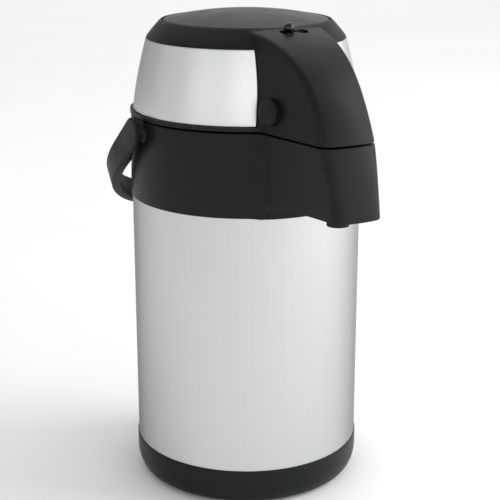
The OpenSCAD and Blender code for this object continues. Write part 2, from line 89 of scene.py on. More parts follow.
def _face_table():
    """Signed distance from the nose's centre line in the (p, z) plane, on a grid."""
    t = np.linspace(0, 1, 500)
    c = bez(t)
    d0 = (_B[1] - _B[0]) / np.linalg.norm(_B[1] - _B[0])
    d1 = (_B[3] - _B[2]) / np.linalg.norm(_B[3] - _B[2])
    s = np.linspace(0, 60, 160)[:, None]
    line = np.vstack([(_B[0] - d0 * s)[::-1][:-1], c, (_B[3] + d1 * s)[1:]])
    p = np.arange(-10, 190.1, 0.5)
    z = np.arange(180, 360.1, 0.5)
    P, Z = np.meshgrid(p, z, indexing="ij")
    q = np.stack([P.ravel(), Z.ravel()], 1)
    out = np.empty(len(q))
    a, b = line[:-1], line[1:]
    ab = b - a
    l2 = (ab ** 2).sum(1)
    for i in range(0, len(q), 4000):
        w = q[i:i + 4000, None, :] - a[None]
        u = np.clip((w * ab[None]).sum(2) / l2, 0, 1)
        dv = w - u[..., None] * ab[None]
        d2 = (dv ** 2).sum(2)
        k = d2.argmin(1)
        r = np.arange(len(k))
        side = ab[k, 0] * dv[r, k, 1] - ab[k, 1] * dv[r, k, 0]
        out[i:i + 4000] = np.sqrt(d2[r, k]) * np.sign(side)
    return p, z, out.reshape(P.shape)


_FP, _FZ, _FD = _face_table()


def face_d(p, z):
    x = np.clip((p - _FP[0]) / 0.5, 0, len(_FP) - 1.001)
    y = np.clip((z - _FZ[0]) / 0.5, 0, len(_FZ) - 1.001)
    i, j = x.astype(int), y.astype(int)
    u, v = x - i, y - j
    return (_FD[i, j] * (1 - u) * (1 - v) + _FD[i + 1, j] * u * (1 - v) + _FD[i, j + 1] * (1 - u) * v + _FD[i + 1, j + 1] * u * v)


def smooth01(x):
    x = np.clip(x, 0, 1)
    return x * x * (3 - 2 * x)


_GP, _GZ = np.gradient(_FD, 0.5, 0.5)


def _look(tab, p, z):
    x = np.clip((p - _FP[0]) / 0.5, 0, len(_FP) - 1.001)
    y = np.clip((z - _FZ[0]) / 0.5, 0, len(_FZ) - 1.001)
    i, j = x.astype(int), y.astype(int)
    u, v = x - i, y - j
    return (tab[i, j] * (1 - u) * (1 - v) + tab[i + 1, j] * u * (1 - v) + tab[i, j + 1] * (1 - u) * v + tab[i + 1, j + 1] * u * v)


def crown(z):
    """Crown of the nose's front across its width: nearly flat by the button, rounder below."""
    return np.interp(z, [262, 285, 300, 315], [1 / 125, 1 / 150, 1 / 230, 1 / 420])


def corner_r(z):
    return np.interp(z, [217, 262, 285, 302, 315], [8.0, 7.0, 5.5, 4.0, 3.2])


DRAFT = 0.11


def half_width(p, z):
    zz = z - Z_MID
    d = DRAFT * np.where(zz > 2, zz, np.where(zz < -2, 0, (zz + 2) ** 2 / 8))
    return 29.75 - 0.18 * (p - 74) - d - 0.5 * smooth01((262 - z) / 30) * smooth01((p - 100) / 30)


def f_nose(q, p, z, off=0.0):
    q = np.abs(q)
    k = np.where(z > Z_MID, 0.979, 0.984)
    a = (q - half_width(p, z)) * k + off
    cr = crown(z)
    qq = np.clip(q, 0, 42)
    gp, gz = _look(_GP, p, z), _look(_GZ, p, z)
    sq = 2 * qq * cr
    nrm = np.sqrt(1 + sq * sq)
    b = (_look(_FD, p, z) + cr * qq * qq) / nrm + off
    rf = corner_r(z) - off
    c = np.clip(k * (sq + 0.18 * gp + np.where(z > Z_MID, DRAFT, 0) * gz) / nrm, -0.3, 0.85)
    u, v = a + rf, b + rf
    wedge = (u > c * v) & (v > c * u) & (u + v > 0)
    d = np.where(wedge, np.sqrt(np.maximum(u * u + v * v - 2 * c * u * v, 0) / (1 - c * c)), np.maximum(u, v)) - rf
    return d + 1.5 * np.maximum(46 - p, 0)


def blend_r(z):
    return np.interp(z, [200, 250, 262, 275, 300, 322], [7.5, 7.0, 4.0, 1.2, 1.0, 0.9])


def f_body(th, r, z, ring, off=0.0):
    """Outside of the pot at polar angle th from the spout's side: the ring and the nose with a round hollow between them."""
    q, p = r * np.sin(th), r * np.cos(th)
    fn = f_nose(q, p, z, off)
    fr = (r - ring(z)) + off
    top = (z - 325.35) * 1.25
    h = np.maximum(2.2 - np.abs(fr - top), 0) / 2.2
    fr = np.maximum(fr, top) + h * h * 2.2 / 4
    rc = blend_r(z)
    u, v = np.maximum(rc - fn, 0), np.maximum(rc - fr, 0)
    return np.maximum(rc, np.minimum(fn, fr)) - np.hypot(u, v)


def shoot(th, z0, phi, ring, off=0.0, lo=40.0, hi=175.0):
    """Distance along rays from the axis at height z0, rising at phi, to the outside."""
    c, s = np.cos(phi), np.sin(phi)
    a = np.full(np.broadcast(th, z0, phi).shape, lo)
    b = np.full_like(a, hi)
    for _ in range(34):
        m = (a + b) / 2
        inside = f_body(th, m * c, z0 + m * s, ring, off) < 0
        a = np.where(inside, m, a)
        b = np.where(inside, b, m)
    m = (a + b) / 2
    return m * c, z0 + m * s


def theta_columns(extra=()):
    """Polar angles from the spout's side, close together where the nose's flanks are."""
    h = [0.0]
    while h[-1] < 180:
        t = h[-1]
        h.append(t + (0.4 if t < 6 else 0.14 if t < 25.5 else 0.5 if t < 32 else 1.25))
    h = [t for t in h if t < 179.6]
    for e in extra:
        h = [t for t in h if abs(t - e) > 0.05]
        h.append(e)
    h = sorted(h)
    full = [-t for t in h[:0:-1]] + h
    return np.radians(np.array(full))


# ------------------------------------------------------------------ mesh helpers
def new_obj(name, verts, faces, mat, body=None, replaces=(), slot=None, sharp=32.0, scale=MM):
    me = bpy.data.meshes.new(name)
    me.from_pydata([tuple(float(c) * scale for c in v) for v in verts], [], [tuple(int(i) for i in f) for f in faces])
    me.validate()
    ob = bpy.data.objects.new(name, me)
    bpy.context.scene.collection.objects.link(ob)
    tidy(ob, sharp)
    if mat is not None:
        me.materials.append(mat)
    if body:
        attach(ob, body)
    if replaces:
        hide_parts(*replaces)
    return ob


def tidy(ob, sharp=32.0, merge=1e-7):
    import bmesh
    me = ob.data
    bm = bmesh.new()
    bm.from_mesh(me)
    bmesh.ops.remove_doubles(bm, verts=bm.verts, dist=merge)
    bmesh.ops.dissolve_degenerate(bm, dist=1e-8, edges=bm.edges)
    bmesh.ops.recalc_face_normals(bm, faces=bm.faces)
    bm.to_mesh(me)
    bm.free()
    me.shade_smooth()
    if sharp is not None:
        me.set_sharp_from_angle(angle=math.radians(sharp))
    me.update()


def grid_faces(n, m, wrap_n=True, wrap_m=True, base=0):
    """Quads of an n by m grid of points, columns n, rows m."""
    out = []
    for i in range(n if wrap_n else n - 1):
        a = i * m
        b = ((i + 1) % n) * m
        for j in range(m if wrap_m else m - 1):
            k = (j + 1) % m
            out.append((base + a + j, base + b + j, base + b + k, base + a + k))
    return out


def round_poly(points, closed=True):
    """A polygon of (x, y, radius) with its corners rounded."""
    pts = [np.array(p[:2], float) for p in points]
    rad = [p[2] if len(p) > 2 else 0 for p in points]
    out = []
    n = len(pts)
    for i in range(n):
        p, r = pts[i], rad[i]
        if r <= 0 or (not closed and i in (0, n - 1)):
            out.append(tuple(p))
            continue
        a, b = pts[i - 1] - p, pts[(i + 1) % n] - p
        la, lb = np.linalg.norm(a), np.linalg.norm(b)
        a, b = a / la, b / lb
        ang = math.acos(max(-1, min(1, float(a @ b))))
        d = min(r / math.tan(ang / 2), la * 0.49, lb * 0.49)
        r = d * math.tan(ang / 2)
        bis = (a + b) / np.linalg.norm(a + b)
        c = p + bis * (r / math.sin(ang / 2))
        s, e = p + a * d - c, p + b * d - c
        k = max(2, int(abs(math.pi - ang) / math.radians(15)) + 1)
        a0 = math.atan2(s[1], s[0])
        da = (math.atan2(e[1], e[0]) - a0 + math.pi) % (2 * math.pi) - math.pi
        for q in range(k + 1):
            t = a0 + da * q / k
            out.append((c[0] + r * math.cos(t), c[1] + r * math.sin(t)))
    return out


def revolve(name, prof, mat, n=160, arc=None, **kw):
    """A closed (r, z) profile turned about the pot's axis; points on the axis are merged."""
    prof = [p for i, p in enumerate(prof) if i == 0 or math.dist(p, prof[i - 1]) > 1e-6]
    m = len(prof)
    if arc is None:
        th = np.linspace(0, 2 * math.pi, n, endpoint=False)
    else:
        th = np.linspace(arc[0], arc[1], n)
    verts = [(r * math.sin(t), -r * math.cos(t), z) for t in th for r, z in prof]
    faces = grid_faces(n, m, wrap_n=arc is None)
    if arc is not None:
        faces += [tuple(range(m)), tuple(range((n - 1) * m, n * m))[::-1]]
    return new_obj(name, verts, faces, mat, **kw)


def section_solid(name, secs, mat, **kw):
    """A closed solid from one closed section for each polar angle: secs is (n, m, 3)."""
    n, m = secs.shape[:2]
    return new_obj(name, secs.reshape(-1, 3), grid_faces(n, m), mat, **kw)


def cut(ob, cutters, sharp=32.0, op="DIFFERENCE"):
    """Exact boolean with throwaway cutters."""
    for c in cutters:
        md = ob.modifiers.new("b", "BOOLEAN")
        md.operation = op
        md.solver = "EXACT"
        md.object = c
    dg = bpy.context.evaluated_depsgraph_get()
    dg.update()
    me = bpy.data.meshes.new_from_object(ob.evaluated_get(dg))
    ob.modifiers.clear()
    old = ob.data
    ob.data = me
    me.name = ob.name
    bpy.data.meshes.remove(old)
    for c in cutters:
        m = c.data
        bpy.data.objects.remove(c)
        bpy.data.meshes.remove(m)
    tidy(ob, sharp, merge=2e-7)
    return ob


def prism(outline, z0, z1, mat=None, name="cutter", **kw):
    """A straight prism over an (x, y) outline, in mm."""
    n = len(outline)
    verts = [(x, y, z0) for x, y in outline] + [(x, y, z1) for x, y in outline]
    faces = [tuple(range(n))[::-1], tuple(range(n, 2 * n))] + [(i, (i + 1) % n, n + (i + 1) % n, n + i) for i in range(n)]
    return new_obj(name, verts, faces, mat, **kw)


def box_obj(x0, x1, y0, y1, z0, z1, mat=None, name="cutter", bevel=0.0, **kw):
    ob = prism([(x0, y0), (x1, y0), (x1, y1), (x0, y1)], z0, z1, mat, name, **kw)
    if bevel:
        bev(ob, bevel)
    return ob


def bev(ob, width, segments=2, angle=35, sharp=32.0):
    md = ob.modifiers.new("bevel", "BEVEL")
    md.width = width * MM
    md.segments = segments
    md.limit_method = "ANGLE"
    md.angle_limit = math.radians(angle)
    dg = bpy.context.evaluated_depsgraph_get()
    dg.update()
    me = bpy.data.meshes.new_from_object(ob.evaluated_get(dg))
    ob.modifiers.clear()
    old = ob.data
    ob.data = me
    bpy.data.meshes.remove(old)
    me.name = ob.name
    me.shade_smooth()
    me.set_sharp_from_angle(angle=math.radians(sharp))
    return ob


def rod(c0, c1, prof, mat=None, name="cutter", n=64, **kw):
    """A solid of revolution on the axis from c0 towards c1; prof is [(radius, distance along)]."""
    c0, c1 = Vector(c0), Vector(c1)
    d = (c1 - c0).normalized()
    u = d.orthogonal().normalized()
    v = d.cross(u)
    verts, faces = [], []
    m = len(prof)
    for i in range(n):
        a = 2 * math.pi * i / n
        w = u * math.cos(a) + v * math.sin(a)
        verts += [tuple(c0 + d * z + w * r) for r, z in prof]
    faces = grid_faces(n, m, wrap_m=False)
    faces += [tuple(i * m for i in range(n))[::-1], tuple(i * m + m - 1 for i in range(n))]
    return new_obj(name, verts, faces, mat, **kw)


# ------------------------------------------------------------------ materials
def node_mat(name):
    m = bpy.data.materials.new(name)
    m.use_nodes = True
    nt = m.node_tree
    nt.nodes.clear()
    out = nt.nodes.new("ShaderNodeOutputMaterial")
    b = nt.nodes.new("ShaderNodeBsdfPrincipled")
    nt.links.new(b.outputs[0], out.inputs[0])
    tc = nt.nodes.new("ShaderNodeTexCoord")
    return m, nt, b, tc.outputs["Object"]


def noise(nt, vec, scale, detail=3, rough=0.5, stretch=None):
    if stretch:
        mp = nt.nodes.new("ShaderNodeMapping")
        mp.inputs["Scale"].default_value = stretch
        nt.links.new(vec, mp.inputs[0])
        vec = mp.outputs[0]
    n = nt.nodes.new("ShaderNodeTexNoise")
    n.inputs["Scale"].default_value = scale
    n.inputs["Detail"].default_value = detail
    n.inputs["Roughness"].default_value = rough
    nt.links.new(vec, n.inputs["Vector"])
    return n.outputs["Fac"]


def remap(nt, val, lo, hi, a=0.3, b=0.7):
    r = nt.nodes.new("ShaderNodeMapRange")
    r.inputs["From Min"].default_value = a
    r.inputs["From Max"].default_value = b
    r.inputs["To Min"].default_value = lo
    r.inputs["To Max"].default_value = hi
    nt.links.new(val, r.inputs["Value"])
    return r.outputs[0]


def ramp(nt, val, stops):
    r = nt.nodes.new("ShaderNodeValToRGB")
    el = r.color_ramp.elements
    el[0].position, el[0].color = stops[0][0], (*stops[0][1], 1)
    el[1].position, el[1].color = stops[-1][0], (*stops[-1][1], 1)
    for p, c in stops[1:-1]:
        e = el.new(p)
        e.color = (*c, 1)
    nt.links.new(val, r.inputs[0])
    return r.outputs[0]


def bump(nt, b, height, strength, dist, prev=None):
    n = nt.nodes.new("ShaderNodeBump")
    n.inputs["Strength"].default_value = strength
    n.inputs["Distance"].default_value = dist
    nt.links.new(height, n.inputs["Height"])
    if prev is not None:
        nt.links.new(prev, n.inputs["Normal"])
    nt.links.new(n.outputs[0], b.inputs["Normal"])
    return n.outputs[0]


def plastic(name, c, rough=(0.36, 0.44), grain=0.05, spec=0.5, grain_scale=1500):
    """Moulded plastic: a fine spark-eroded grain, slow tone and gloss changes, faint handling marks."""
    m, nt, b, obj = node_mat(name)
    big = noise(nt, obj, 9, 3, 0.55)
    lo, hi = [x * 0.86 for x in c], [x * 1.14 for x in c]
    nt.links.new(ramp(nt, big, [(0.3, lo), (0.7, hi)]), b.inputs["Base Color"])
    mid = noise(nt, obj, 60, 4, 0.6)
    nt.links.new(remap(nt, mid, rough[0], rough[1]), b.inputs["Roughness"])
    b.inputs["Specular IOR Level"].default_value = spec
    fine = noise(nt, obj, grain_scale, 2, 0.5)
    n1 = bump(nt, b, fine, grain, 0.00012)
    wave = noise(nt, obj, 22, 1, 0.3)
    bump(nt, b, wave, 0.03, 0.0006, n1)
    return m


def steel(name, c, rough=(0.26, 0.34), brush=(900, 900, 9), aniso=0.0, streak=0.05, bump_s=0.05, edge=1.0):
    """Brushed stainless steel: fine streaks along Z in tone, gloss and relief."""
    m, nt, b, obj = node_mat(name)
    b.inputs["Metallic"].default_value = 1.0
    b.inputs["Specular Tint"].default_value = (edge, edge, edge, 1)
    st = noise(nt, obj, 1.0, 4, 0.6, brush)
    lo, hi = [x * (1 - streak) for x in c], [min(1, x * (1 + streak)) for x in c]
    nt.links.new(ramp(nt, st, [(0.25, lo), (0.75, hi)]), b.inputs["Base Color"])
    st2 = noise(nt, obj, 1.0, 3, 0.6, (brush[0] * 0.3, brush[1] * 0.3, brush[2] * 0.6))
    nt.links.new(remap(nt, st2, rough[0], rough[1]), b.inputs["Roughness"])
    if aniso:
        b.inputs["Anisotropic"].default_value = aniso
        tg = nt.nodes.new("ShaderNodeTangent")
        tg.direction_type = "RADIAL"
        tg.axis = "Z"
        nt.links.new(tg.outputs[0], b.inputs["Tangent"])
    bump(nt, b, st, bump_s, 0.00005)
    return m


def simple(name, c, rough=0.5, metallic=0.0, scale=200, vary=0.1, bmp=0.1, spec=0.5, trans=0.0):
    """Small parts: a fine-grained material with slight variation."""
    m, nt, b, obj = node_mat(name)
    n = noise(nt, obj, scale, 4, 0.6)
    lo, hi = [x * (1 - vary) for x in c], [min(1, x * (1 + vary)) for x in c]
    nt.links.new(ramp(nt, n, [(0.3, lo), (0.7, hi)]), b.inputs["Base Color"])
    nt.links.new(remap(nt, n, rough * 0.85, rough * 1.15), b.inputs["Roughness"])
    b.inputs["Metallic"].default_value = metallic
    b.inputs["Specular IOR Level"].default_value = spec
    if trans:
        b.inputs["Transmission Weight"].default_value = trans
    bump(nt, b, n, bmp, 0.0001)
    return m


M = {
    "abs": plastic("abs_black", (0.0094, 0.0095, 0.0100), (0.36, 0.46), 0.06, 0.17),
    # Push button: a copy of the black ABS whose lighter base colour is painted light for the lit top of the pot, with
    # more specular
    "abs_dome_painted_light": plastic("abs_dome_painted_light", (0.012, 0.0121, 0.0126), (0.38, 0.48), 0.06, 0.33),
    # Handle: a copy of the black ABS whose darker base colour is painted shade on the handle, rougher and with less
    # specular
    "abs_bail_painted_shade": plastic("abs_bail_painted_shade", (0.0062, 0.0063, 0.0067), (0.42, 0.52), 0.06, 0.12),
    "pp": plastic("pp_black", (0.0086, 0.0088, 0.0093), (0.46, 0.56), 0.12, 0.22),
    "grip": plastic("grip_black", (0.0070, 0.0070, 0.0075), (0.5, 0.6), 0.16, 0.15, 1100),
    "steel_body": steel("steel_body", (0.645, 0.645, 0.65), (0.34, 0.40), (1600, 1600, 4), 0.4, 0.02, 0.015, 0.18),
    "steel_band": steel("steel_band", (0.79, 0.79, 0.796), (0.34, 0.40), (1600, 1600, 5), 0.4, 0.02, 0.015, 0.35),
    "liner": steel("steel_liner", (0.62, 0.62, 0.625), (0.22, 0.30), (30, 30, 900), 0.0, 0.05, 0.06),
    "pin": simple("steel_pin", (0.66, 0.66, 0.67), 0.22, 1.0, 600, 0.06, 0.05),
    "screw": simple("steel_screw", (0.55, 0.55, 0.56), 0.32, 1.0, 900, 0.1, 0.1),
    "spring": simple("spring_wire", (0.6, 0.6, 0.6), 0.3, 1.0, 900, 0.1, 0.05),
    "sil": simple("silicone_clear", (0.72, 0.70, 0.64), 0.5, 0.0, 120, 0.06, 0.1),
    "sil_o": simple("silicone_orange", (0.55, 0.16, 0.05), 0.55, 0.0, 120, 0.08, 0.1),
    "rubber": simple("rubber_foot", (0.016, 0.016, 0.016), 0.7, 0.0, 500, 0.15, 0.2, 0.3),
    "bellows": simple("bellows_pe", (0.5, 0.48, 0.44), 0.5, 0.0, 90, 0.06, 0.1),
    "pipe": simple("pipe_pp", (0.7, 0.7, 0.68), 0.4, 0.0, 90, 0.05, 0.08),
    "knob": plastic("knob_black", (0.004, 0.004, 0.0045), (0.07, 0.12), 0.0, 0.6),
}
SLOT_MAT = {"abs_black": "abs", "pp_black": "pp", "grip_black": "grip", "steel_body": "steel_body", "steel_band": "steel_band",
            "steel_liner": "liner", "steel_pin": "pin", "steel_screw": "screw", "spring_wire": "spring", "silicone_clear": "sil",
            "silicone_orange": "sil_o", "rubber_foot": "rubber", "bellows_pe": "bellows", "pipe_pp": "pipe", "knob_black": "knob"}
for sp in frame["record"]["subparts"]:
    ob = frame["nodes"][sp["node"]]
    mat = M[SLOT_MAT[sp["material_slot"]]]
    if len(ob.material_slots) == 0:
        ob.data.materials.append(mat)
    for s in ob.material_slots:
        s.material = mat

# ------------------------------------------------------------------ pot: base, tube, collar
prof = [(53, 0.8), (71.2, 0.8)]
cr = COLLAR_R - 72.6
prof += [(72.6 + cr * math.sin(a), 1.25 + 15.2 * (1 - math.cos(a)) * 1.0) for a in np.radians(np.linspace(0, 90, 20))]
prof += [(COLLAR_R + 0.02, 22.0), (COLLAR_R, 26.1), (COLLAR_R - 0.18, 26.5), (COLLAR_R - 0.45, 26.6), (79.56, 26.6), (79.56, 21), (76.5, 21), (76.5, 16), (70, 5), (55.5, 3.4), (55.5, 12), (53, 12)]
revolve("base_moulding", prof, M["abs"], 200, body="pot", replaces=("base_ring",), slot="abs_black", sharp=40)

zz = np.linspace(21.2, 210.1, 24)
prof = [(79.5, z) for z in zz] + [(78.9, z) for z in zz[::-1]]
revolve("steel_tube", prof, M["steel_body"], 220, body="pot", replaces=("outer_shell",), slot="steel_body")


def arch_z(r):
    """Height of the collar's lower edge: it sweeps up under the nose."""
    u = np.clip((r - 83.0) / 9.0, 0, 1)
    return np.where(r > 83.0, Z_NOSE - 11.6 + 11.6 * np.sqrt(np.clip(1 - (1 - u) ** 2, 0, 1)), Z_COLLAR)


TH = theta_columns()


def outline(th, z, ring, off=0.0):
    return shoot(th, np.full_like(th, z) if np.isscalar(z) else z, np.zeros_like(th), ring, off)[0]


def build_collar():
    th = TH
    n = len(th)
    r0 = outline(th, 214.0, collar_ring_r)
    zlow = arch_z(r0)
    for _ in range(3):
        zlow = arch_z(outline(th, zlow, collar_ring_r))
    nz = 44
    s = np.linspace(0, 1, nz) ** 0.9
    e = 0.55
    secs = []
    ztop = Z_SEAM - e
    for k in range(nz):
        z = zlow + 0.35 + (ztop - zlow - 0.35) * s[k]
        r = outline(th, z, collar_ring_r)
        secs.append((r, z))
    rt, _ = secs[-1]
    # rounded upper edge and the deck
    for a in (30, 60, 90):
        secs.append((rt - e * (1 - math.cos(math.radians(a))), np.full(n, ztop + e * math.sin(math.radians(a)))))
    deck_out = rt - e
    for u in np.linspace(0.06, 1, 16):
        secs.append((deck_out + (44.6 - deck_out) * u, np.full(n, Z_SEAM)))
    secs += [(np.full(n, 44.3), np.full(n, Z_SEAM - 0.3)), (np.full(n, 44.3), np.full(n, Z_SEAM - 2)), (np.full(n, 38.2), np.full(n, Z_SEAM - 2)), (np.full(n, 38.2), np.full(n, Z_SEAM - 4))]
    rin = outline(th, Z_SEAM - 4.0, collar_ring_r, WALL)
    for u in np.linspace(0.2, 0.97, 6):
        secs.append((38.2 + (rin - 38.2) * u, np.full(n, Z_SEAM - 4)))
    # inside, down to the lip that stands on the steel tube, and the foot that sweeps up under the nose
    r_end = outline(th, zlow, collar_ring_r)
    lip = np.maximum(outline(th, zlow + 0.1, collar_ring_r, WALL), 79.56)
    zl = arch_z(lip)
    z_step = np.maximum(Z_COLLAR + 4.4, zl + 0.3)
    for u in np.linspace(0, 1, 12):
        z = Z_SEAM - 4 + (z_step - Z_SEAM + 4) * u
        secs.append((outline(th, z, collar_ring_r, WALL), z))
    secs += [(lip, z_step), (lip, zl + 0.02)]
    for u in np.linspace(0.1, 1, 8):
        r = lip + (r_end - 0.35 - lip) * u
        secs.append((r, arch_z(r)))
    R = np.stack([a for a, _ in secs], 1)
    Z = np.stack([np.broadcast_to(b, (n,)) for _, b in secs], 1)
    X = R * np.sin(th)[:, None]
    Y = -R * np.cos(th)[:, None]
    ob = section_solid("collar_housing", np.stack([X, Y, Z], 2), M["abs"], body="pot", replaces=("collar",), slot="abs_black", sharp=38)
    return ob


collar = build_collar()
cutters = [box_obj(s * 14.75 - 4.75, s * 14.75 + 4.75, -91.5, -80.5, Z_SEAM - 6, Z_SEAM + 2) for s in (-1, 1)]
cut(collar, cutters, 38)


def band_end(z):
    """Polar angle of the band's end: it follows the flank."""
    t = (z - Z_BAND) / (Z_SH - Z_BAND)
    return np.radians(23.33 - 1.05 * 4 * t * (1 - t))


def build_lid():
    th = theta_columns((23.6, 23.66))
    n = len(th)
    deg = np.degrees(np.abs(th))
    z0 = np.full(n, Z_LID)
    # heights on the ring at which the rows run, with pairs at the recess for the band
    zs = np.concatenate([[Z_LID, Z_LID + 0.35, Z_LID + 1.3, Z_BAND - 0.03, Z_BAND + 0.03], np.linspace(Z_BAND, Z_SH, 66)[1:-1],
                         [Z_SH - 0.03, Z_SH + 0.03], np.linspace(Z_SH, Z_DOME - 0.3, 40)[1:]])
    rr = lid_ring_r(zs)
    phis = np.arctan2(zs - Z_LID, rr)
    recess_row = (zs > Z_BAND) & (zs < Z_SH)
    R, Z = [], []
    for k in range(len(zs)):
        r, z = shoot(th, z0, np.full(n, phis[k]), lid_ring_r)
        if recess_row[k]:
            r = np.where(deg > np.degrees(band_end(zs[k])) - 0.33, float(band_r(zs[k])) - 0.95, r)
        elif zs[k] < Z_BAND:
            # the rim stands out under the band
            rim = np.where(deg > 23.0, 79.8 - 0.9 * 0, r)
            w = smooth01((deg - 22.6) / 1.2)
            r = np.maximum(r, r * (1 - w) + (79.75 if k else 79.45) * w)
        R.append(r)
        Z.append(z)
    # stop at the well's edge
    R, Z = np.array(R), np.array(Z)
    for k in range(R.shape[0]):
        bad = R[k] < 57.75
        if bad.any():
            Z[k] = np.where(bad, top_at(th, 57.75), Z[k])
            R[k] = np.where(bad, 57.75, R[k])
    zt = top_at(th, np.full(n, 57.75))
    zt2 = top_at(th, np.full(n, 57.2))
    rows = [(R[k], Z[k]) for k in range(R.shape[0])]
    rows += [(np.full(n, 57.75), zt), (np.full(n, 57.45), zt - 0.05), (np.full(n, 57.2), zt - 0.4)]
    rows += [(np.full(n, 57.2), np.full(n, z)) for z in (318.0, 300.0, 273.2)]
    rows += [(np.full(n, 59.2), np.full(n, z)) for z in (273.2, 300.0, 316.5)]
    inner_z = np.concatenate([np.linspace(Z_SH + 3.5, Z_BAND, 12), [Z_LID]])
    for zk in inner_z:
        ph = math.atan2(zk - Z_LID, float(lid_ring_r(zk)) - 3)
        r, z = shoot(th, z0, np.full(n, ph), lid_ring_r, 2.9)
        r = np.maximum(r, 59.4)
        rows.append((r, z))
    # the rim's underside in the ring's part is the lid base's own
    RR = np.stack([a for a, _ in rows], 1)
    ZZ = np.stack([b for _, b in rows], 1)
    X = RR * np.sin(th)[:, None]
    Y = -RR * np.cos(th)[:, None]
    return section_solid("lid_housing", np.stack([X, Y, ZZ], 2), M["abs"], body="lid", replaces=("lid_shell",), slot="abs_black", sharp=34)


def top_at(th, r):
    """Height of the lid's top at radius r."""
    a = np.full(th.shape, 290.0)
    b = np.full(th.shape, 335.0)
    for _ in range(30):
        m = (a + b) / 2
        inside = f_body(th, r, m, lid_ring_r_ext) < 0
        a = np.where(inside, m, a)
        b = np.where(inside, b, m)
    return np.minimum((a + b) / 2, Z_DOME)


def lid_ring_r_ext(z):
    z = np.asarray(z, float)
    return np.where(z > Z_DOME, 57.6 - (z - Z_DOME) * 3, lid_ring_r(z))


lid = build_lid()
# slot of the pump lock and the two latch openings
SLOT_P = 65.0


def dogbone(k=1.0):
    pts = []
    a0 = math.asin(1.8 / 4.0)
    for s in (1, -1):
        for q in range(33):
            a = (math.pi - a0) - (2 * math.pi - 2 * a0) * q / 32
            pts.append((s * 6.2 + s * 4.0 * k * math.cos(a), -SLOT_P + s * 4.0 * k * math.sin(a)))
    return pts


FN = Vector((-1.0, -0.18, DRAFT)).normalized()
LATCH_C = Vector((-float(half_width(84.5, 276.5)), -84.5, 276.5))


def latch_axis(s):
    c = Vector((LATCH_C.x * s, LATCH_C.y, LATCH_C.z))
    d = Vector((FN.x * s, FN.y, FN.z))
    return c, d


cutters = [prism(dogbone(), 316.3, 336)]
# groove in which the button's lug runs down, and the passage of the lock bar's tongue
cutters.append(box_obj(1, 9.5, -60.2, -54.2, Z_DOME - 31, Z_DOME - 4.8))
cutters.append(box_obj(-10.4, 10.4, -66, -54, Z_DOME - 10.3, Z_DOME - 6.3))
for s in (1, -1):
    c, d = latch_axis(s)
    cutters.append(rod(c - d * 9, c + d * 12, [(8.8, 0), (8.8, 21)]))
cut(lid, cutters, 34)

# ------------------------------------------------------------------ steel band
def build_band():
    """The band is a C-shaped sheet with rolled edges; its two ends follow the nose's flanks."""
    thick, e = 0.9, 0.42
    lo, hi = Z_BAND + 0.06, Z_SH - 0.06
    turn = np.radians([6, 28, 50, 72])
    zs = [lo + e * (1 - math.sin(a)) for a in turn[::-1]][::-1]
    prof = [(e * (1 - math.sin(a)), lo + e * (1 - math.cos(a))) for a in turn]
    prof += [(0.0, z) for z in np.linspace(lo + e, hi - e, 44)]
    prof += [(e * (1 - math.sin(a)), hi - e * (1 - math.cos(a))) for a in turn[::-1]]
    D = np.array([d for d, z in prof])
    Zp = np.array([z for d, z in prof])
    Ro = band_r(Zp) - D
    Ri = band_r(Zp) - thick
    R = np.concatenate([Ro, Ri[::-1]])
    Zc = np.concatenate([Zp, Zp[::-1]])
    outer = np.arange(len(R)) < len(Ro)
    end = band_end(Zc)
    cols = []
    for a in np.radians([6, 28, 50, 72, 90]):
        cols.append((np.where(outer, np.minimum(R, band_r(Zc) - e * (1 - math.sin(a))), R), end + e * (1 - math.cos(a)) / R))
    for u in np.linspace(0, 1, 116)[1:]:
        cols.append((R, (end + e / R) * (1 - u) + math.pi * u))
    cols += [(r, 2 * math.pi - th) for r, th in cols[:-1][::-1]]
    secs = np.array([np.stack([-r * np.sin(th), -r * np.cos(th), Zc], 1) for r, th in cols])
    n, m = secs.shape[:2]
    faces = grid_faces(n, m, wrap_n=False)
    k = len(Ro)
    for b in (0, (n - 1) * m):
        for i in range(k - 1):
            f = (b + i, b + i + 1, b + m - 2 - i, b + m - 1 - i)
            faces.append(f if b else f[::-1])
    return new_obj("lid_band_skin", secs.reshape(-1, 3), faces, M["steel_band"], body="lid", replaces=("lid_band",), slot="steel_band", sharp=60)


build_band()

# ------------------------------------------------------------------ push button


def dome_z(r):
    return 325.0 + 5.9 * (1 - (min(r, 54.6) / 54.6) ** 2.1)


rs = np.linspace(0.0, 54.0, 40)
prof = [(float(r), dome_z(float(r))) for r in rs]
prof += [(54.6 + 2.0 * math.sin(a), 323.0 + 2.0 * math.cos(a)) for a in np.radians([2, 12, 24, 36, 48, 60, 72, 84, 90])]
prof += [(56.6, Z_SH - 13), (54.6, Z_SH - 13), (54.6, Z_DOME - 4.5), (52, Z_DOME - 2.4), (40, 325.6), (20, 327.6), (0.0, 328.4)]
# the dome, lug and socket take the black ABS copy with painted light in its lighter base colour
revolve("button_dome", prof, M["abs_dome_painted_light"], 180, body="push_button", replaces=("push_button",), slot="abs_black", sharp=40)
box_obj(2, 8, -59, -55.6, Z_DOME - 7, Z_DOME - 5, M["abs_dome_painted_light"], "button_lug", bevel=0.3, body="push_button", replaces=("push_button",), slot="abs_black")
rod((0, 0, 306.8), (0, 0, 330), [(6.6, 0), (9.0, 0), (9.0, 22.0), (6.6, 22.0)], M["abs_dome_painted_light"], "button_socket", body="push_button", replaces=("push_button",), slot="abs_black")
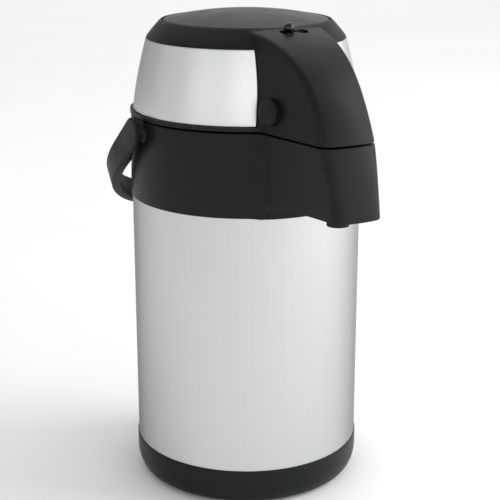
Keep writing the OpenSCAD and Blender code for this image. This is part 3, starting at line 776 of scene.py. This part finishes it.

# ------------------------------------------------------------------ bellows and return spring, each with a mesh of its own
B0, B1 = Z_BAND + 0.2, Z_SH - 11.2
prof = [(49.2, B0), (49.2, B0 + 0.9)]
prof += [(45.7 - 3.3 * math.cos(math.pi * t), B0 + 0.9 + (B1 - B0 - 1.8) * t / 12) for t in np.linspace(1, 12, 133)]
prof += [(49.0, B1 - 0.9), (49.0, B1)]
prof += [(40.6, B1), (40.6, B1 - 0.9)]
prof += [(44.3 - 3.3 * math.cos(math.pi * t), B0 + 0.9 + (B1 - B0 - 1.8) * t / 12) for t in np.linspace(12, 1, 133)]
prof += [(47.4, B0 + 0.8), (40.6, B0 + 0.8), (40.6, B0)]
fold = revolve("bellows_skin", prof, M["bellows"], 120, body="lid", replaces=("bellows",), slot="bellows_pe", sharp=50)
verts = []
for i in range(6 * 48 + 1):
    a = 2 * math.pi * i / 48
    z = B0 + 1.1 + (B1 - B0 - 2.2) * min(1, max(0, (i / 48 - 0.5) / 5))
    for j in range(12):
        b_ = 2 * math.pi * j / 12
        rr = 22 + 1.1 * math.cos(b_)
        verts.append((rr * math.cos(a), rr * math.sin(a), z + 1.1 * math.sin(b_)))
nr = 6 * 48 + 1
faces = grid_faces(nr, 12, wrap_n=False) + [tuple(range(12))[::-1], tuple(range((nr - 1) * 12, nr * 12))]
coil = new_obj("return_coil", verts, faces, M["spring"], body="lid", replaces=("return_spring",), slot="spring_wire", sharp=50)
for piece in (fold, coil):
    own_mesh(piece)

# ------------------------------------------------------------------ lock knob
kx, kz = -3.4, 325.4
prof = [(3.6 * math.sin(a), 3.6 - 3.6 * math.cos(a)) for a in np.radians(np.linspace(24, 180, 30))]
prof = [(1.5, -5.2), (1.5, 0.25)] + prof
rod((kx, -SLOT_P, kz - 3.6), (kx, -SLOT_P, kz + 5), [(max(r, 0.02), z) for r, z in prof], M["knob"], "lock_ball", 48, body="lock_slider", replaces=("lock_knob",), slot="knob_black", sharp=40)

# ------------------------------------------------------------------ latch buttons
for s, nm in ((1, "left"), (-1, "right")):
    c, d = latch_axis(s)
    prof = [(8.3, -1.5), (8.3, 3.4)] + [(6.5 + 1.8 * math.cos(a), 3.4 + 1.6 * math.sin(a)) for a in np.radians(np.linspace(10, 80, 8))] + [(5.6, 5.03), (3.0, 5.1), (0.05, 5.12)]
    prof = [(8.3, -6.5)] + prof
    rod(c, c + d * 5, prof, M["abs"], "latch_cap_" + nm, 96, body="latch_" + nm, replaces=("latch_button_" + nm,), slot="abs_black", sharp=40)
    for i, (x0, x1, y0, y1, z0, z1) in enumerate(((-20.5, -14.5, -89, -82, 270.3, 277.3), (-17.4, -14.8, -89, -82, 252.8, 276.8), (-19.2, -17.2, -89, -82, 252.8, 256.4))):
        xa, xb = sorted((x0 * s, x1 * s))
        box_obj(xa, xb, y0, y1, z0, z1, M["abs"], "latch_leg_%s_%d" % (nm, i), bevel=0.3, body="latch_" + nm, replaces=("latch_button_" + nm,), slot="abs_black")

# ------------------------------------------------------------------ handle
BR = math.radians(36.6)


def bow_pt(w, l, a):
    return w * max(math.cos(a), 0) ** (2 / 2.3), 30 + (l - 30) * math.sin(a) ** (2 / 2.3)


def bow_path(w, l, n=220):
    """Centre line of the bail in its own plane, from the left pivot's end to the right one's, evenly spaced."""
    a = np.radians(np.linspace(0, 90, 400))
    half = [(-w, v) for v in np.linspace(-10.1, 29.5, 30)] + [(-bow_pt(w, l, t)[0], bow_pt(w, l, t)[1]) for t in a]
    pts = half + [(-x, y) for x, y in half[-2::-1]]
    P = np.array(pts)
    seg = np.r_[0, np.cumsum(np.hypot(*np.diff(P, axis=0).T))]
    s = np.linspace(0, seg[-1], n)
    return np.stack([np.interp(s, seg, P[:, 0]), np.interp(s, seg, P[:, 1])], 1)


def bail_world(u, v, w):
    """(across, along, out of) the bail's plane to world mm."""
    y = Y_PIVOT + v * math.cos(BR) + w * math.sin(BR)
    z = Z_PIVOT - v * math.sin(BR) + w * math.cos(BR)
    return (u, y, z)


def strap(name, w, l, t, half_w, mat, rep, slot, s0=None, corner=1.6, n=220, thin=0.0):
    P = bow_path(w - t / 2, l - t / 2, n)
    if s0 is not None:
        keep = P[:, 1] > s0
        P = P[keep]
    T = np.gradient(P, axis=0)
    T /= np.linalg.norm(T, axis=1)[:, None]
    N = np.stack([-T[:, 1], T[:, 0]], 1)
    verts, m = [], 0
    for (x, y), nrm in zip(P, N):
        h = half_w(y)
        c = min(corner, h * 0.9, t / 2 * 0.98)
        lo = -t / 2 + thin * float(1 - smooth01((y - 9) / 17))
        sec = round_poly([(lo, -h, c), (t / 2, -h, c), (t / 2, h, c), (lo, h, c)]) if h > 0.05 else None
        if sec is None:
            sec = round_poly([(-t / 2, -0.05, 0.02), (t / 2, -0.05, 0.02), (t / 2, 0.05, 0.02), (-t / 2, 0.05, 0.02)])
        m = len(sec)
        for a, b in sec:
            verts.append(bail_world(x + nrm[0] * a, y + nrm[1] * a, b))
    n = len(P)
    faces = grid_faces(n, m, wrap_n=False) + [tuple(range(m))[::-1], tuple(range((n - 1) * m, n * m))]
    return new_obj(name, verts, faces, mat, body="handle", replaces=rep, slot=slot, sharp=50)


def bail_half(v):
    if v < 0:
        return math.sqrt(max(10.1 ** 2 - v * v, 0.0))
    return 10.1 + (8.7 - 10.1) * min(1, v / 60)


# the bail takes the black ABS copy with painted shade in its darker base colour
bail = strap("bail_strap", 87.4, 120.0, 6.5, bail_half, M["abs_bail_painted_shade"], ("handle_bail",), "abs_black", thin=3.0)
grip = strap("bail_grip", 87.4 - 3.55, 120 - 3.55, 3.7, lambda v: 7.1 * min(1, max(0.02, (v - 30) / 6)) ** 0.5, M["grip"], ("handle_grip",), "grip_black", s0=30.5, corner=1.2)

# ------------------------------------------------------------------ small rounded pieces of the collar
for s in (-1, 1):
    rod((s * 76.5, Y_PIVOT, Z_PIVOT), (s * 90, Y_PIVOT, Z_PIVOT), [(7.4, 0), (7.4, 2.9), (6.7, 3.6), (6.4, 4.6), (6.4, 6.9), (6.0, 7.2)], M["abs"], "pivot_boss_%s" % ("l" if s < 0 else "r"), body="pot", replaces=("collar",), slot="abs_black")
    rod((s * 16.5 - 6, Y_HINGE, Z_MID), (s * 16.5 + 6, Y_HINGE, Z_MID), [(4.2, 0), (4.6, 0.4), (4.6, 11.6), (4.2, 12)], M["abs"], "hinge_ear_%s" % ("l" if s < 0 else "r"), body="pot", replaces=("collar",), slot="abs_black")
    box_obj(s * 16.5 - 6, s * 16.5 + 6, 76.5, 85, Z_SEAM - 6, Z_SEAM, M["abs"], "hinge_arm_%s" % ("l" if s < 0 else "r"), bevel=0.5, body="pot", replaces=("collar",), slot="abs_black")

# ------------------------------------------------------------------ floor, light, camera
PHI = math.radians(28)
rx = Vector((math.cos(PHI), -math.sin(PHI), 0))
bk = Vector((-math.sin(PHI), -math.cos(PHI), 0))
cam_pos = bk * 0.8625 + rx * 0.00265 + Vector((0, 0, 0.4214))
pitch = math.radians(16.8)
view_dir = -bk * math.cos(pitch) + Vector((0, 0, -math.sin(pitch)))
cd = bpy.data.cameras.new("camera")
cd.sensor_width = 36.0
cd.lens = 1262 / 500 * 36.0
cd.clip_end = 50
cam = bpy.data.objects.new("camera", cd)
cam.location = cam_pos
cam.rotation_euler = view_dir.to_track_quat("-Z", "Y").to_euler()
bpy.context.scene.collection.objects.link(cam)
bpy.context.scene.camera = cam

fm, nt, b, objc = node_mat("floor_white")
n = noise(nt, objc, 3, 2)
nt.links.new(ramp(nt, n, [(0.3, (0.93, 0.93, 0.93)), (0.7, (0.95, 0.95, 0.95))]), b.inputs["Base Color"])
b.inputs["Roughness"].default_value = 0.9
b.inputs["Specular IOR Level"].default_value = 0.1
floor = new_obj("floor", [(-6000, -6000, 0), (6000, -6000, 0), (6000, 6000, 0), (-6000, 6000, 0)], [(0, 1, 2, 3)], fm)


def area(name, loc, target, size, power, shape="RECTANGLE", color=(1, 1, 1)):
    ld = bpy.data.lights.new(name, "AREA")
    ld.shape = shape
    ld.size, ld.size_y = size
    ld.energy = power
    ld.color = color
    ob = bpy.data.objects.new(name, ld)
    ob.location = loc
    ob.rotation_euler = (Vector(target) - Vector(loc)).to_track_quat("-Z", "Y").to_euler()
    bpy.context.scene.collection.objects.link(ob)
    return ob


def at(right, back, up):
    """A place by the camera's own right, towards the camera, and up, about the pot."""
    return rx * right + bk * back + Vector((0, 0, up))


AIM = (0, 0, 0.2)


def softbox(name, turn, dist, up, size, radiance):
    """A square-on softbox, turned about the pot from the camera's side (positive is the camera's right)."""
    a = math.radians(turn)
    area(name, at(math.sin(a) * dist, math.cos(a) * dist, up), AIM, size, radiance * math.pi * size[0] * size[1])


softbox("right", 90, 2.2, 0.75, (1.5, 1.2), 3.5)
softbox("right_high", 90, 1.7, 1.7, (1.2, 1.1), 4.4)
softbox("front_right", 45, 2.2, 0.75, (1.5, 1.2), 1.45)
softbox("front", 0, 2.2, 0.75, (1.5, 1.2), 0.85)
softbox("front_left", -45, 2.2, 0.75, (1.5, 1.2), 0.7)
softbox("left", -90, 2.2, 0.75, (1.5, 1.2), 0.4)
softbox("back_left", -135, 3.9, 1.18, (2.66, 2.12), 0.3)
softbox("back_right", 135, 3.9, 1.18, (2.66, 2.12), 0.33)
softbox("back", 180, 3.9, 1.18, (2.66, 2.12), 0.5)
area("background", at(-0.3, -2.1, 3.4), at(-0.3, -2.1, 0), (6, 4.2), 0.85 * math.pi * 25.2)

w = bpy.data.worlds.new("world")
bpy.context.scene.world = w
w.use_nodes = True
bg = w.node_tree.nodes["Background"]
bg.inputs["Color"].default_value = (1, 1, 1, 1)
wt = w.node_tree
wc = wt.nodes.new("ShaderNodeTexCoord")
wd = wt.nodes.new("ShaderNodeVectorMath")
wd.operation = "DOT_PRODUCT"
wd.inputs[1].default_value = tuple((rx * 0.94 + bk * 0.34).normalized())
wr = wt.nodes.new("ShaderNodeMapRange")
wr.inputs["From Min"].default_value, wr.inputs["From Max"].default_value = -1.0, 1.0
wr.inputs["To Min"].default_value, wr.inputs["To Max"].default_value = 0.22, 0.66
wt.links.new(wc.outputs["Generated"], wd.inputs[0])
wt.links.new(wd.outputs["Value"], wr.inputs["Value"])
wt.links.new(wr.outputs["Result"], bg.inputs["Strength"])
bpy.context.scene.view_settings.view_transform = "Standard"
